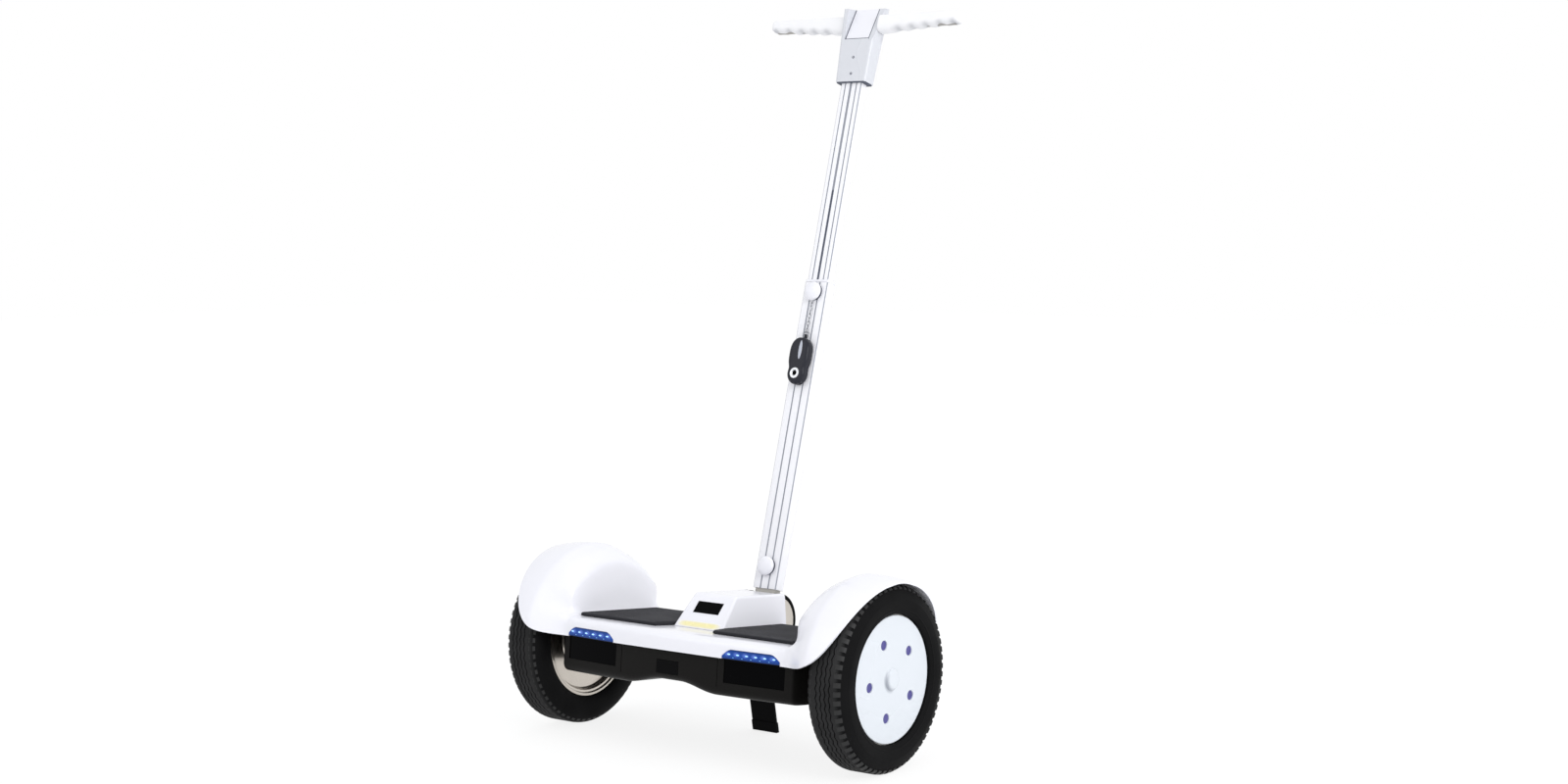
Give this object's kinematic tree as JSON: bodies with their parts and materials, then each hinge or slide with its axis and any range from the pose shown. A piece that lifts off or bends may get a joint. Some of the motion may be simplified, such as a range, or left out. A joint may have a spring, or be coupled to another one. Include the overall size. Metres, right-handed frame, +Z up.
{
  "type": "self-balancing scooter",
  "caption": "two-wheeled self-balancing scooter with hub-motor wheels, fendered deck, foot pads, rear lights, folding telescopic steering pole and centre stand",
  "frame": {"origin": "on the floor, at the middle of the parking stand's sole", "axes": "+Z up, +Y the way the rider faces, +X the rider's right; the deck is parked nose-down on its stand"},
  "size_m": [0.5968, 0.5053, 1.0491],
  "materials": {
    "white": "glossy white moulding",
    "black": "satin black moulding",
    "tyre": "black tyre rubber, ribbed and siped",
    "pad": "dark charcoal ribbed rubber",
    "grip": "soft white moulding",
    "rubber": "matte black rubber",
    "rim": "bright warm silver, turned",
    "steel": "satin metal",
    "white_metal": "white anodised and lacquered tube",
    "chrome": "bright plated metal",
    "lens": "clear deep blue moulding",
    "window": "glossy black display window",
    "board": "green circuit board",
    "battery": "blue shrink sleeve over the cells",
    "copper": "laminated stator with copper windings, on a steel axle"
  },
  "bodies": {
    "deck": {"axle_clamp_left": "steel", "axle_clamp_right": "steel", "battery_pack": "battery", "charge_socket": "black", "chassis": "steel", "console_hood": "white", "control_board": "board", "display_board": "board", "display_window": "window", "foot_switch_sheet": "board", "footpad_left": "pad", "footpad_right": "pad", "hinge_bolt": "steel", "hinge_bracket": "steel", "hinge_guard_left": "rubber", "hinge_guard_right": "rubber", "lens_left": "lens", "lens_right": "lens", "light_board_left": "board", "light_board_right": "board", "lower_shell": "black", "motor_core_left": "copper", "motor_core_right": "copper", "port_plate": "black", "stand_pin": "steel", "top_cover": "white"},
    "wheel_left": {"tyre_left": "tyre", "rim_left": "rim", "motor_cover_left": "steel", "hubcap_left": "white", "bearing_left_inner": "steel", "bearing_left_outer": "steel"},
    "wheel_right": {"tyre_right": "tyre", "rim_right": "rim", "motor_cover_right": "steel", "hubcap_right": "white", "bearing_right_inner": "steel", "bearing_right_outer": "steel"},
    "stand": {"stand_leg": "black", "stand_foot": "rubber"},
    "flap": {"charge_flap": "rubber"},
    "button": {"power_button": "black"},
    "fold_arm": {"fold_hub": "steel", "lean_pin": "steel"},
    "pole": {"pole_root": "steel", "centring_bush": "rubber", "lower_tube": "white_metal", "guide_bush": "white"},
    "knob_lower": {"clamp_knob_lower": "white"},
    "knob_upper": {"clamp_knob_upper": "white"},
    "upper_pole": {"upper_tube": "white_metal", "head_front_shell": "white", "head_rear_shell": "white", "badge_panel": "white", "handle_tube": "steel", "grip_left": "grip", "grip_right": "grip"},
    "fob": {"fob_case": "black", "fob_chain": "chrome"},
    "fob_key": {"fob_button": "chrome"}
  },
  "joints": [
    {"name": "wheel_left_spin", "type": "hinge", "parent": "deck", "child": "wheel_left", "pos_m": [-0.2674, -0.105, 0.127], "axis": [1, 0, 0], "continuous": true},
    {"name": "wheel_right_spin", "type": "hinge", "parent": "deck", "child": "wheel_right", "pos_m": [0.2674, -0.105, 0.127], "axis": [1, 0, 0], "continuous": true},
    {"name": "stand_fold", "type": "hinge", "parent": "deck", "child": "stand", "pos_m": [0, -0.01574, 0.08333], "axis": [1, 0, 0], "range_deg": [-106, 0]},
    {"name": "charge_flap_open", "type": "hinge", "parent": "deck", "child": "flap", "pos_m": [0, -0.22155, 0.13732], "axis": [1, 0, 0], "range_deg": [-110, 0]},
    {"name": "power_press", "type": "slide", "parent": "deck", "child": "button", "axis": [0, -0.9955, 0.095], "range_m": [0, 0.0012], "stiffness_N_per_m": 600},
    {"name": "pole_fold", "type": "hinge", "parent": "deck", "child": "fold_arm", "pos_m": [0, -0.00779, 0.16142], "axis": [1, 0, 0], "range_deg": [-79, 0]},
    {"name": "pole_lean", "type": "hinge", "parent": "fold_arm", "child": "pole", "pos_m": [0, -0.00163, 0.18254], "axis": [0, 0.9601, -0.2798], "range_deg": [-8, 8], "stiffness_Nm_per_rad": 60},
    {"name": "knob_lower_turn", "type": "hinge", "parent": "pole", "child": "knob_lower", "pos_m": [0, 0.00443, 0.23911], "axis": [0, -0.9601, 0.2798], "range_deg": [0, 360]},
    {"name": "knob_upper_turn", "type": "hinge", "parent": "pole", "child": "knob_upper", "pos_m": [0, 0.11832, 0.62985], "axis": [0, -0.9601, 0.2798], "range_deg": [0, 360]},
    {"name": "pole_extend", "type": "slide", "parent": "pole", "child": "upper_pole", "axis": [0, 0.2798, 0.9601], "range_m": [-0.29, 0.04]},
    {"name": "fob_swing", "type": "hinge", "parent": "pole", "child": "fob", "pos_m": [0, 0.12793, 0.62705], "axis": [0, 0.9601, -0.2798], "range_deg": [-40, 40]},
    {"name": "fob_press", "type": "slide", "parent": "fob", "child": "fob_key", "axis": [0, 0.9601, -0.2798], "range_m": [0, 0.001], "stiffness_N_per_m": 400}
  ]
}
